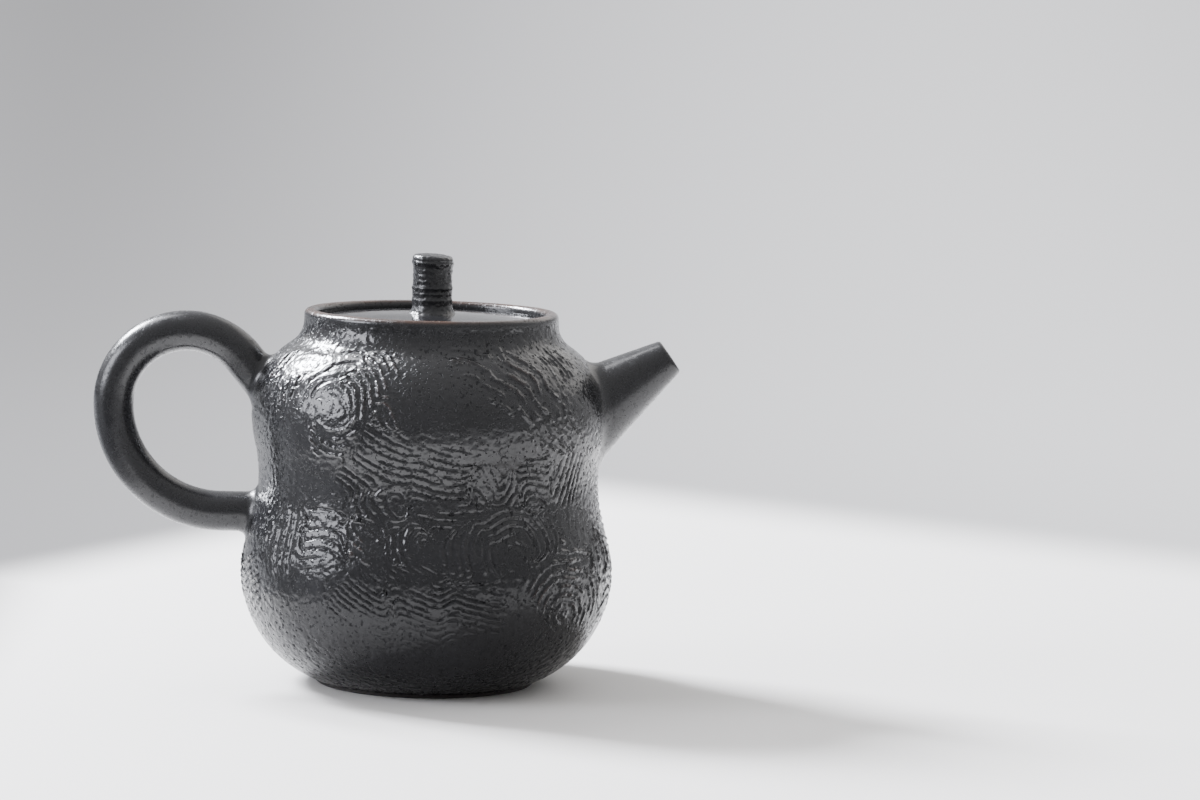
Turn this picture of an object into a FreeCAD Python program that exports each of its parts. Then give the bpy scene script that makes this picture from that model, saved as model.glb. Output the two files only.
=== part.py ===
import FreeCAD, Part
import math
import os

# A small hand-made teapot in black-glazed stoneware: a thrown gourd body with a standing collar,
# a cone spout luted over a pierced strainer dome, a pulled ear handle, and a sunken lid with a
# ringed knob. Sizes are in millimetres. Z is up, the origin is the centre of the foot, and the
# spout points along +X, with the handle opposite.

# Gourd body, outside
foot_radius = 25.0
foot_height = 0.8
foot_round = 0.35
belly_radius = 42.1
belly_height = 25.0
waist_radius = 38.6
waist_height = 47.0
shoulder_radius = 40.4
shoulder_height = 61.5
collar_radius = 28.9
collar_foot_height = 78.7
neck_blend = 6.5
rim_round = 1.2

# Gourd body, inside
wall = 3.2
floor_thickness = 4.2
floor_radius = 25.0
collar_wall = 3.0
foot_ring_width = 4.0
foot_recess = 1.4

# Lid and the ledge that it lies on
mouth_radius = 21.5
ledge_rise = 1.5
ledge_thickness = 3.6
lid_sink = 1.8
lid_clearance = 0.4
plate_thickness = 3.0
plate_round = 0.7
vent_radius = 1.2
vent_offset = 11.0
flange_clearance = 0.5
flange_wall = 2.4
flange_depth = 7.0
flange_round = 0.7

# Ringed knob
knob_radius = 4.4
knob_height = 14.6
knob_flare = 1.4
knob_flare_height = 2.6
knob_rings = 5
ring_swell = 0.3
knob_crown = 0.9
crown_round = 0.5

# Cone spout and the strainer behind it
spout_height = 65.5
spout_rise = 35.2
spout_length = 17.8
spout_root_radius = 8.8
spout_tip_radius = 4.2
spout_lip = 1.5
lip_round = 0.5
spout_root_wall = 2.4
spout_seam = 3.2
outlet_drop = 1.6
outlet_radius = 6.2
strainer_land = 0.8
strainer_wall = 1.7
strainer_hole_radius = 1.0
strainer_rows = 3
strainer_row_gain = 5
strainer_row_tilt = 26.5

# Ear handle
handle_radius = 4.55
handle_standoff = 31.4
handle_crown_radius = 16.6
handle_sweep_radius = 24.5
handle_turn_height = 62.6
handle_entry = 51.0
handle_seam = 2.4

# A rounding takes at most this share of the wall that it is on, or of the hollow that it runs into.
round_share = 0.45
hollow_share = 0.9
same_place = 1e-4

ledge_height = collar_foot_height + ledge_rise
lid_top = ledge_height + plate_thickness
rim_height = lid_top + lid_sink
gallery_radius = collar_radius - collar_wall
plate_radius = gallery_radius - lid_clearance
flange_radius = mouth_radius - flange_clearance
outlet_height = spout_height - outlet_drop
origin = FreeCAD.Vector(0, 0, 0)
along = FreeCAD.Vector(1, 0, 0)
across = FreeCAD.Vector(0, 1, 0)
upward = FreeCAD.Vector(0, 0, 1)


# Profiles are drawn at the back of the pot, so that no seam of a revolved face lies under the
# spout or the handle.
def point(radius, height):
    return radius * across + height * upward


# A spot in the upright plane through the spout and the handle
def spot(reach, height):
    return reach * along + height * upward


def line(start, end):
    return Part.LineSegment(start, end).toShape()


# Angles are in degrees from level, and the arc lies in the plane that place gives.
def arc(centre, radius, first, last, place=point):
    ends = []
    for degrees in (first, (first + last) / 2, last):
        angle = math.radians(degrees)
        ends.append(centre + place(radius * math.cos(angle), radius * math.sin(angle)))
    return Part.Arc(*ends).toShape()


def revolved(edges):
    outline = Part.Wire(Part.__sortEdges__(edges))
    return Part.Face(outline).revolve(origin, upward, 360)


def disc(radius, low, high):
    return Part.makeCylinder(radius, high - low, low * upward)


def circles(shape, radius, centre):
    found = []
    for edge in shape.Edges:
        if not edge.Degenerated and isinstance(edge.Curve, Part.Circle):
            off_centre = (edge.Curve.Center - centre).Length
            if abs(edge.Curve.Radius - radius) < same_place and off_centre < same_place:
                found.append(edge)
    return found


def eased(shape, rounding, thickness, rings):
    edges = []
    for radius, centre in rings:
        edges += circles(shape, radius, centre)
    return shape.makeFillet(min(rounding, round_share * thickness), edges)


# A bulge stands upright at its widest point and runs on one arc to another point of the profile.
def bulge(wide, other):
    inward = wide.y - other.y
    rise = other.z - wide.z
    radius = (inward ** 2 + rise ** 2) / (2 * inward)
    centre = point(wide.y - radius, wide.z)
    return centre, radius, math.degrees(math.atan2(rise, other.y - centre.y))


# A drawn-in stretch is two equal arcs, upright at both ends, that meet half way.
def drawn_in(wide, narrow):
    inward = wide.y - narrow.y
    rise = narrow.z - wide.z
    radius = (inward ** 2 + rise ** 2) / (4 * inward)
    turn = math.degrees(math.asin(rise / (2 * radius)))
    convex = arc(point(wide.y - radius, wide.z), radius, 0, turn)
    concave = arc(point(narrow.y + radius, narrow.z), radius, 180 + turn, 180)
    return [convex, concave]


# The sides of the gourd between belly and shoulder, at a given depth below the outside
def gourd_side(depth):
    belly = point(belly_radius - depth, belly_height)
    waist = point(waist_radius - depth, waist_height)
    shoulder = point(shoulder_radius - depth, shoulder_height)
    return drawn_in(belly, waist) + drawn_in(shoulder, waist)


def gourd_bottom(depth, edge):
    centre, radius, turn = bulge(point(belly_radius - depth, belly_height), edge)
    return arc(centre, radius, 0, turn)


shoulder_bulge = bulge(point(shoulder_radius, shoulder_height), point(collar_radius, collar_foot_height))


# The gourd as a filled solid, up to the rim. The hollow of the neck ends below the rounding of the
# rim.
def gourd_outside():
    centre, radius, turn = shoulder_bulge
    foot_edge = point(foot_radius, foot_height)
    collar_foot = point(collar_radius, collar_foot_height)
    rim_edge = point(collar_radius, rim_height)
    edges = [line(origin, point(foot_radius, 0)), line(point(foot_radius, 0), foot_edge)]
    edges.append(gourd_bottom(0, foot_edge))
    edges += gourd_side(0)
    edges.append(arc(centre, radius, 0, turn))
    edges += [line(collar_foot, rim_edge), line(rim_edge, point(0, rim_height))]
    edges.append(line(point(0, rim_height), origin))
    solid = revolved(edges)
    room = (rim_height - rim_round - collar_foot_height) / math.tan(math.radians(turn / 2))
    neck = circles(solid, collar_radius, collar_foot_height * upward)
    solid = solid.makeFillet(min(neck_blend, hollow_share * room), neck)
    return eased(solid, foot_round, foot_height, [(foot_radius, origin)])


# The hollow of the gourd, up to the underside of the ledge
def gourd_inside():
    centre, radius, turn = shoulder_bulge
    floor = foot_recess + floor_thickness
    floor_edge = point(floor_radius, floor)
    crown = centre + point(0, radius - wall)
    edges = [line(point(0, floor), floor_edge), gourd_bottom(wall, floor_edge)]
    edges += gourd_side(wall)
    edges.append(arc(centre, radius - wall, 0, 90))
    edges += [line(crown, point(0, crown.z)), line(point(0, crown.z), point(0, floor))]
    return revolved(edges).common(disc(belly_radius, 0, ledge_height - ledge_thickness))


outside = gourd_outside()
inside = gourd_inside()


# Where a level line from the axis leaves a solid of revolution
def reach_at(solid, height):
    ray = line(height * upward, spot(2 * belly_radius, height))
    return solid.common(ray).BoundBox.XMax


# Thrown body: hollowed, opened at the mouth, with the ledge for the lid, the turned foot and the
# outlet that the spout covers
def make_body():
    pot = outside.cut(inside)
    pot = pot.cut(disc(mouth_radius, shoulder_height, rim_height))
    pot = pot.cut(disc(gallery_radius, ledge_height, rim_height))
    rim = rim_height * upward
    pot = eased(pot, rim_round, collar_wall, [(collar_radius, rim), (gallery_radius, rim)])
    pot = pot.cut(disc(foot_radius - foot_ring_width, 0, foot_recess))
    outlet_length = shoulder_radius - mouth_radius + outlet_radius
    outlet = Part.makeCylinder(outlet_radius, outlet_length, spot(mouth_radius, outlet_height), along)
    return pot.cut(outlet)


spout_turn = math.radians(spout_rise)
spout_axis = spot(math.cos(spout_turn), math.sin(spout_turn))
spout_seat = spot(reach_at(outside, spout_height), spout_height)


# A cone on the spout's axis that starts well inside the body
def spout_cone(root_radius, tip_radius, past_tip):
    taper = (root_radius - tip_radius) / spout_length
    back = 2 * root_radius
    start = spout_seat - back * spout_axis
    length = back + spout_length + past_tip
    return Part.makeCone(root_radius + back * taper, tip_radius - past_tip * taper, length, start, spout_axis)


spout_solid = spout_cone(spout_root_radius, spout_tip_radius, 0)


# Cone spout, cut off square at the tip and cut back to the wall that it is luted to
def make_spout():
    bore_tip = spout_tip_radius - spout_lip
    bore = spout_cone(spout_root_radius - spout_root_wall, bore_tip, spout_lip)
    tip = spout_seat + spout_length * spout_axis
    tube = eased(spout_solid.cut(bore), lip_round, spout_lip, [(spout_tip_radius, tip), (bore_tip, tip)])
    return tube.cut(outside)


# Pierced dome over the outlet, on the inner side of the wall: one hole in the middle, and more in
# each row around it
def make_strainer():
    centre = spot(reach_at(inside, outlet_height), outlet_height)
    hollow = outlet_radius + strainer_land
    dome = Part.makeSphere(hollow + strainer_wall, centre).cut(Part.makeSphere(hollow, centre))
    dome = dome.common(inside)
    for row in range(strainer_rows):
        count = 1 + round(row * strainer_row_gain)
        for step in range(count):
            hole = Part.makeCylinder(strainer_hole_radius, 2 * hollow, centre, -along)
            hole.rotate(centre, across, row * strainer_row_tilt)
            hole.rotate(centre, along, 360 * step / count)
            dome = dome.cut(hole)
    return dome


# Ear handle: a round bar along two straight roots and two arcs, from the wall back to the wall
def handle_bar():
    far = shoulder_radius + handle_standoff
    sweep = spot(handle_sweep_radius - far, handle_turn_height)
    crown = spot(handle_crown_radius - far, handle_turn_height)
    crown_end = 90 - handle_entry
    dive = math.radians(handle_entry)
    low = sweep - handle_sweep_radius * upward
    low_root = spot(-mouth_radius, low.z)
    high = crown + handle_crown_radius * spot(math.sin(dive), math.cos(dive))
    high_root = high + (shoulder_radius - mouth_radius) * spot(math.cos(dive), -math.sin(dive))
    path = Part.Wire([
        line(low_root, low),
        arc(sweep, handle_sweep_radius, 270, 180, spot),
        arc(crown, handle_crown_radius, 180, crown_end, spot),
        line(high, high_root),
    ])
    section = Part.Wire(Part.makeCircle(handle_radius, low_root, along))
    return path.makePipeShell([section], True, False)


# A luting coil is the clay smoothed into the corner where a limb meets the wall. One that runs up
# into the hollow of the neck is no rounder than the hollow. The coils come from the lowest up.
def seam_coils(limb, rounding):
    joined = outside.fuse(limb)
    seam = outside.section(limb)
    room = collar_foot_height - neck_blend - seam.BoundBox.ZMax
    radius = min(rounding, max(room, hollow_share * neck_blend))
    corner = []
    for edge in joined.Edges:
        if not edge.Degenerated:
            middle = edge.valueAt((edge.FirstParameter + edge.LastParameter) / 2)
            if seam.distToShape(Part.Vertex(middle))[0] < same_place:
                corner.append(edge)
    coils = joined.makeFillet(radius, corner).cut(joined).Solids
    return sorted(coils, key=lambda coil: coil.CenterOfMass.z)


# Lid plate with its vent behind the knob
def make_plate():
    faces = [(plate_radius, ledge_height * upward), (plate_radius, lid_top * upward)]
    plate = eased(disc(plate_radius, ledge_height, lid_top), plate_round, plate_thickness, faces)
    return plate.cut(Part.makeCylinder(vent_radius, plate_thickness, point(vent_offset, ledge_height)))


# Ring under the lid that reaches down into the mouth
def make_flange():
    low = ledge_height - flange_depth
    bore = flange_radius - flange_wall
    ring = disc(flange_radius, low, ledge_height).cut(disc(bore, low, ledge_height))
    return eased(ring, flange_round, flange_wall, [(flange_radius, low * upward), (bore, low * upward)])


# Knob: a flared base, even throwing rings and a low crown
def make_knob():
    ring_low = lid_top + knob_flare_height
    top = lid_top + knob_height
    ring_high = top - knob_crown
    pitch = (ring_high - ring_low) / knob_rings
    bend = 1 - math.sqrt(0.5)
    base = point(knob_radius + knob_flare, lid_top)
    flare = point(knob_radius + bend * knob_flare, lid_top + bend * knob_flare_height)
    edges = [line(point(0, lid_top), base), Part.Arc(base, flare, point(knob_radius, ring_low)).toShape()]
    for ring in range(knob_rings):
        low = point(knob_radius, ring_low + ring * pitch)
        swell = low + point(ring_swell, pitch / 2)
        edges.append(Part.Arc(low, swell, low + point(0, pitch)).toShape())
    dome = (knob_radius ** 2 + knob_crown ** 2) / (2 * knob_crown)
    edges.append(arc(point(0, top - dome), dome, math.degrees(math.acos(knob_radius / dome)), 90))
    edges.append(line(point(0, top), point(0, lid_top)))
    return eased(revolved(edges), crown_round, pitch, [(knob_radius, ring_high * upward)])


handle_solid = handle_bar()
spout_coil = seam_coils(spout_solid, spout_seam)
handle_coils = seam_coils(handle_solid, handle_seam)
nodes = {
    "pot_body": make_body(),
    "spout": make_spout(),
    "spout_strainer": make_strainer(),
    "spout_seam_coil": spout_coil[0],
    "handle": handle_solid.cut(outside),
    "handle_lower_seam_coil": handle_coils[0],
    "handle_upper_seam_coil": handle_coils[-1],
    "lid_plate": make_plate(),
    "lid_flange": make_flange(),
    "lid_knob": make_knob(),
}

os.makedirs("parts", exist_ok=True)
for name, shape in nodes.items():
    shape.exportStep(os.path.join("parts", name + ".step"))
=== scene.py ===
import bmesh
import bpy
import math
from mathutils import Matrix, Vector


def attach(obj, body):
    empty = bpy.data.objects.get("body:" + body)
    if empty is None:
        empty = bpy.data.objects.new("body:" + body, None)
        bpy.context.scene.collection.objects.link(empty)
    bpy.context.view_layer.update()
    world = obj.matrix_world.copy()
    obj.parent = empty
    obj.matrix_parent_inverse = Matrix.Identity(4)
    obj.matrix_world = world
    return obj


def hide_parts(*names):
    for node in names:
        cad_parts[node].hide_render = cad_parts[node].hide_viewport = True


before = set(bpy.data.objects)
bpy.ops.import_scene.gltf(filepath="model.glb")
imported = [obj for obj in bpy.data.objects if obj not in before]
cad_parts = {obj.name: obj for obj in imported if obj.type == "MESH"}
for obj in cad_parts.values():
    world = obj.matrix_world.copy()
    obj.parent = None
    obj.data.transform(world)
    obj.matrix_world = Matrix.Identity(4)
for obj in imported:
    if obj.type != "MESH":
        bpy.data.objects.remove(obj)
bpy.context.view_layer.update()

# A small black-glazed stoneware teapot: gourd body with wood-grain relief, cone spout, ear handle, sunken lid.
# Sizes in the dictionaries are millimetres and degrees, those of the stage and the lights metres.
mm = 0.001
almostNothing = 1e-6
sharpBend = 40.0  # edges that turn by more stay sharp
noiseReach = (0.3, 0.7)  # most values of a noise lie between these
scene = bpy.context.scene

# settings that many nodes share
eased, inColour, fourWay = {"interpolation_type": "SMOOTHSTEP"}, {"data_type": "RGBA"}, {"noise_dimensions": "4D"}
plus, times, timesPlus, over, largest, apart, scaled, along = (
    {"operation": name} for name in (
        "ADD", "MULTIPLY", "MULTIPLY_ADD", "DIVIDE", "MAXIMUM", "DISTANCE", "SCALE", "DOT_PRODUCT"))


def linear(hexColour):
    channels = [int(hexColour[i:i + 2], 16) / 255 for i in (1, 3, 5)]
    return tuple(c / 12.92 if c <= 0.04045 else ((c + 0.055) / 1.055) ** 2.4 for c in channels) + (1.0,)


def addNode(tree, kind, settings={}, feeds={}):
    node = tree.nodes.new(kind)
    for name, value in settings.items():
        setattr(node, name, value)
    for name, value in feeds.items():
        if isinstance(value, bpy.types.Node):
            value = value.outputs[0]
        if isinstance(value, bpy.types.NodeSocket):
            tree.links.new(value, node.inputs[name])
        else:
            node.inputs[name].default_value = value
    return node


# Camera at the photograph's viewing angle

cameraSet = {
    "place": (0, -953.4, 167.4),
    "yaw": 2.327,  # turned towards the spout
    "pitch": 6.105,  # looking down
    "roll": 1.479,
    "lens": 126.18,
    "sensor": 36.0,
    "clipStart": 10.0,
}


def makeCamera():
    yaw, pitch, roll = (math.radians(cameraSet[name]) for name in ("yaw", "pitch", "roll"))
    forward = Vector((math.sin(yaw) * math.cos(pitch), math.cos(yaw) * math.cos(pitch), -math.sin(pitch)))
    level = Vector((math.cos(yaw), -math.sin(yaw), 0))
    upright = level.cross(forward)
    right = math.cos(roll) * level + math.sin(roll) * upright
    up = math.cos(roll) * upright - math.sin(roll) * level
    data = bpy.data.cameras.new("photoCamera")
    data.sensor_fit = "HORIZONTAL"
    data.sensor_width = cameraSet["sensor"]
    data.lens = cameraSet["lens"]
    data.clip_start = cameraSet["clipStart"] * mm
    camera = bpy.data.objects.new("photoCamera", data)
    turned = Matrix((right, up, -forward)).transposed().to_4x4()
    camera.matrix_world = Matrix.Translation(Vector(cameraSet["place"]) * mm) @ turned
    scene.collection.objects.link(camera)
    scene.camera = camera


makeCamera()
print("camera set")

# Gourd profile, the same arcs that the solids have

gourd = {
    "footRadius": 25.0, "footHeight": 0.8, "footRound": 0.35, "footRing": 4.0, "footRecess": 1.4,
    "bellyRadius": 42.1, "bellyHeight": 25.0,
    "waistRadius": 38.6, "waistHeight": 47.0,
    "shoulderRadius": 40.4, "shoulderHeight": 61.5,
    "collarRadius": 28.9, "collarFoot": 78.7, "neckBlend": 6.5, "collarSplit": 83.2,
    "rimHeight": 85.0, "rimRound": 1.2,
    "wall": 3.2, "galleryRadius": 25.9, "ledgeHeight": 80.2, "ledgeThickness": 3.6, "mouthRadius": 21.5,
    "floorHeight": 5.6, "floorRadius": 25.0,
    "seatEdge": 0.4, "softEdge": 0.3,  # bevels of the ledge, and of its underside and the foot ring
    "longArc": 80, "shortArc": 40, "rimArc": 12, "footArc": 6,  # steps
}


def arcPoints(centre, radius, first, last, count):
    steps = [math.radians(first + (last - first) * i / count) for i in range(count + 1)]
    return [(centre[0] + radius * math.cos(a), centre[1] + radius * math.sin(a)) for a in steps]


def bottomArc(depth, edge):
    wide = (gourd["bellyRadius"] - depth, gourd["bellyHeight"])
    inward, fall = wide[0] - edge[0], edge[1] - wide[1]
    radius = (inward ** 2 + fall ** 2) / (2 * inward)
    centre = (wide[0] - radius, wide[1])
    return arcPoints(centre, radius, math.degrees(math.atan2(fall, edge[0] - centre[0])), 0, gourd["longArc"])


def drawnIn(wide, narrow):  # two equal arcs, upright at both ends
    inward, rise = wide[0] - narrow[0], narrow[1] - wide[1]
    radius = (inward ** 2 + rise ** 2) / (4 * inward)
    turn = math.degrees(math.asin(rise / (2 * radius)))
    convex = arcPoints((wide[0] - radius, wide[1]), radius, 0, turn, gourd["shortArc"])
    hollow = arcPoints((narrow[0] + radius, narrow[1]), radius, 180 + turn, 180, gourd["shortArc"])
    return convex + hollow[1:]


def sideArcs(depth):
    belly, waist, shoulder = (
        (gourd[name + "Radius"] - depth, gourd[name + "Height"]) for name in ("belly", "waist", "shoulder"))
    return drawnIn(belly, waist), drawnIn(shoulder, waist)[::-1]


def shoulderBulge():  # radius of the arc from the shoulder in to the collar
    inward = gourd["shoulderRadius"] - gourd["collarRadius"]
    rise = gourd["collarFoot"] - gourd["shoulderHeight"]
    return (inward ** 2 + rise ** 2) / (2 * inward)


def shoulderArc(depth, top):
    bulge = shoulderBulge()
    centre = (gourd["shoulderRadius"] - bulge, gourd["shoulderHeight"])
    last = math.degrees(math.asin((top - centre[1]) / (bulge - depth)))
    return arcPoints(centre, bulge - depth, 0, last, gourd["longArc"])


def neckArc():  # hollow that runs from the shoulder into the upright collar
    bulge, blend = shoulderBulge(), gourd["neckBlend"]
    across = gourd["collarRadius"] + blend - gourd["shoulderRadius"] + bulge
    upward = math.sqrt((bulge + blend) ** 2 - across ** 2)
    centre = (gourd["collarRadius"] + blend, gourd["shoulderHeight"] + upward)
    touch = gourd["shoulderHeight"] + upward * bulge / (bulge + blend)
    first = 180 + math.degrees(math.atan2(upward, across))
    return touch, arcPoints(centre, blend, first, 180, gourd["shortArc"])


def profileParts():
    g = gourd
    lowSide, highSide = sideArcs(0)
    bellyLine = bottomArc(0, (g["footRadius"], g["footHeight"])) + lowSide[1:]
    touch, neck = neckArc()
    shoulderLine = highSide + shoulderArc(0, touch)[1:] + neck[1:] + [(g["collarRadius"], g["collarSplit"])]
    rim, rounding, steps = g["rimHeight"], g["rimRound"], g["rimArc"]
    outer, inner, mouth = g["collarRadius"], g["galleryRadius"], g["mouthRadius"]
    ledge, under = g["ledgeHeight"], g["ledgeHeight"] - g["ledgeThickness"]
    bevel, soft = g["seatEdge"], g["softEdge"]
    rimLine = [(outer, g["collarSplit"])] + arcPoints((outer - rounding, rim - rounding), rounding, 0, 90, steps)
    rimLine += arcPoints((inner + rounding, rim - rounding), rounding, 90, 180, steps) + [(inner, ledge + bevel)]
    seatLine = [rimLine[-1], (inner - bevel, ledge), (mouth + bevel, ledge)]
    seatLine += [(mouth, ledge - bevel), (mouth, under + soft), (mouth + soft, under)]
    insideShoulder = shoulderArc(g["wall"], under)[::-1]
    insideLow, insideHigh = sideArcs(g["wall"])
    insideBottom = bottomArc(g["wall"], (g["floorRadius"], g["floorHeight"]))[::-1]
    insideLine = [seatLine[-1]] + insideShoulder + insideHigh[::-1][1:] + insideLow[::-1][1:] + insideBottom[1:]
    insideLine.append((0, g["floorHeight"]))
    ring, recess, foot = g["footRadius"] - g["footRing"], g["footRecess"], g["footRound"]
    footLine = [(0, recess), (ring - soft, recess), (ring, recess - soft), (ring, soft), (ring + soft, 0)]
    footLine += arcPoints((g["footRadius"] - foot, foot), foot, -90, 0, g["footArc"])
    footLine.append((g["footRadius"], g["footHeight"]))
    return bellyLine + shoulderLine[1:], rimLine, seatLine, insideLine, footLine


outsideLine, rimLine, seatLine, insideLine, footLine = profileParts()


def bodyRadius(height):
    for (r0, z0), (r1, z1) in zip(outsideLine, outsideLine[1:]):
        if z0 <= height <= z1 and z1 > z0:
            return r0 + (r1 - r0) * (height - z0) / (z1 - z0)
    return 0.0


def onBody(turn, height):  # turn is counted from the front towards the spout
    angle = math.radians(turn)
    return Vector((bodyRadius(height) * math.sin(angle), -bodyRadius(height) * math.cos(angle), height))


# Wood-grain relief: runs of strokes that bow round eyes, lean across the waist, break off and fork,
# and leave smooth places

grain = {
    # turn, height, reach, lean towards the middle of its rings (90 is up), their radius, gap, share of cut strokes
    "runs": [
        (-61, 71, 7, 0, 25, 2.6, 0), (-43, 71.5, 4.5, -40, 8, 2.3, 1), (-34, 75.5, 4.5, -80, 9, 2.3, 1),
        (-20, 72, 7, 218, 11, 1.6, 0), (-11, 67, 5, 215, 17, 1.6, 0), (-32, 60, 6, 90, 8, 1.8, 0),
        (20, 77, 6, -100, 20, 2.5, 0), (31, 72.5, 8, -125, 20, 2.5, 0), (39, 66, 7, -135, 20, 2.2, 0),
        (56, 75.5, 4.5, 172, 25, 1.5, 0.3), (47, 60, 5, -130, 25, 1.7, 0),
        (-15, 52, 9, 70, 45, 1.6, 1), (3, 49, 9, 72, 40, 1.6, 1), (-15, 44.5, 7, 55, 30, 1.5, 0.5),
        (20, 49.8, 5, 35, 25, 1.5, 1), (27, 47.6, 5, 150, 20, 1.5, 1), (37, 49.5, 6, -90, 9, 1.7, 1),
        (52, 50, 6, 165, 25, 1.6, 1),
        (-52, 35.5, 7, 5, 30, 2.1, 0.5), (-35, 36, 7.5, -92, 20, 2.3, 1), (-21, 37.5, 5, 60, 25, 1.6, 0),
        (-6, 38, 5, 0, 4, 1.6, 0.5), (15, 34, 7, 5, 10, 1.6, 0.5), (27, 41, 6, -90, 9, 1.7, 0.5),
        (37, 38, 6, 215, 10, 1.7, 0.5),
        (44, 27.5, 8, -68, 8, 2.0, 0), (58, 26, 8, -135, 9, 2.0, 0), (71, 31, 6, 195, 25, 1.7, 0),
        (-1, 22.5, 9, 65, 50, 1.4, 1), (13, 22, 8, 68, 50, 1.4, 1), (-18, 20.5, 8, 62, 45, 1.4, 1),
        # round the spout side, the back and the handle side
        (88, 38, 10, 80, 40, 1.6, 0.5), (82, 22, 8, -110, 10, 2.0, 0), (100, 24, 9, -60, 12, 1.9, 0),
        (120, 68, 8, -90, 12, 2.1, 0), (133, 64, 7, -140, 14, 2.0, 0), (112, 52, 8, 70, 40, 1.6, 1),
        (130, 47, 9, 110, 45, 1.6, 1), (148, 50, 7, 60, 30, 1.6, 1), (125, 32, 8, 0, 14, 1.7, 0),
        (142, 33, 7, 180, 12, 1.7, 0), (150, 20, 9, 70, 50, 1.6, 0), (160, 72, 7, -40, 11, 2.0, 0),
        (175, 74, 7, -110, 11, 2.0, 0), (186, 66, 7, 180, 13, 1.7, 0), (168, 58, 6, 90, 9, 1.8, 0),
        (172, 44, 8, 100, 35, 1.6, 1), (195, 48, 8, 75, 40, 1.6, 1), (188, 30, 8, -90, 10, 2.3, 0),
        (205, 33, 7, 200, 16, 1.6, 0), (178, 20, 8, 110, 45, 1.6, 0.3), (215, 70, 8, -70, 16, 2.1, 0),
        (232, 72, 7, -120, 14, 2.0, 0), (225, 54, 8, 65, 40, 1.6, 1), (242, 50, 8, 110, 30, 1.6, 1),
        (230, 28, 9, 80, 14, 1.8, 0), (248, 26, 8, 140, 16, 1.7, 0), (260, 53, 7, 90, 30, 1.6, 0.5),
        (268, 24, 8, 70, 40, 1.6, 0), (286, 22, 8, 115, 35, 1.6, 0),
    ],
    "runFrom": 0.4, "runTo": 1.4,  # shares of the reach between which a run dies away
    "runGrip": 4.0,  # how sharply one run gives way to the next
    "wanderSize": 26.0, "wanderDepth": 2.5,
    "swirlSize": 12.0, "swirlDepth": 0.8, "forkSize": 5.0, "forkDepth": 0.3, "raggedSize": 1.7, "raggedDepth": 0.17,
    "raisedFrom": (-0.1, 0.95), "cutFrom": (-0.2, -0.92), "cutDepth": 0.8,  # the part of the wave that is worked
    "strokeSize": 8.0, "strokeFrom": (0.34, 0.45), "strokeSeed": 7.3,  # each stroke starts and stops by itself
    "patchSize": 9.0, "patchShare": 1.1, "patchFrom": (0.75, 0.95), "patchSeed": 9.0,  # frayed edges of the runs
    "wornSize": 1.3, "wornFrom": (0.3, 0.6), "wornLeast": 0.25, "wornMost": 1.15,
    "fadeLow": (8.0, 28.0), "fadeHigh": (77.5, 80.0),
    # left smooth, where the limbs were luted on and between the runs: turn, height, inner reach, outer reach
    "smoothed": [
        (90, 62.0, 11.5, 15.0), (-90, 38.1, 6.5, 10.0), (-90, 68.8, 6.5, 10.0), (-49, 75.8, 4.5, 6.5),
        (-34, 66.5, 4.0, 6.5), (4, 67, 7.0, 11.0), (27, 33, 2.0, 4.0),
    ],
}
thrownInputs = (
    ("Start", "Float"), ("End", "Float"), ("Rings", "Int"), ("Spokes", "Int"), ("Ridge height", "Float"),
    ("Dent size", "Float"), ("Dent depth", "Float"), ("Grit size", "Float"), ("Grit depth", "Float"),
    ("Seed", "Float"), ("Finish", "Material"),
)


def openTree(name, inputs):
    tree = bpy.data.node_groups.new(name, "GeometryNodeTree")
    tree.interface.new_socket("Geometry", in_out="INPUT", socket_type="NodeSocketGeometry")
    for label, kind in inputs:
        tree.interface.new_socket(label, in_out="INPUT", socket_type="NodeSocket" + kind)
    tree.interface.new_socket("Geometry", in_out="OUTPUT", socket_type="NodeSocketGeometry")
    return tree, addNode(tree, "NodeGroupInput").outputs


def closeTree(tree, form, finish):
    form = addNode(tree, "GeometryNodeRealizeInstances", {}, {"Geometry": form})
    form = addNode(tree, "GeometryNodeSetMaterial", {}, {"Geometry": form, "Material": finish})
    addNode(tree, "NodeGroupOutput", {}, {0: form})
    return tree


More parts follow.
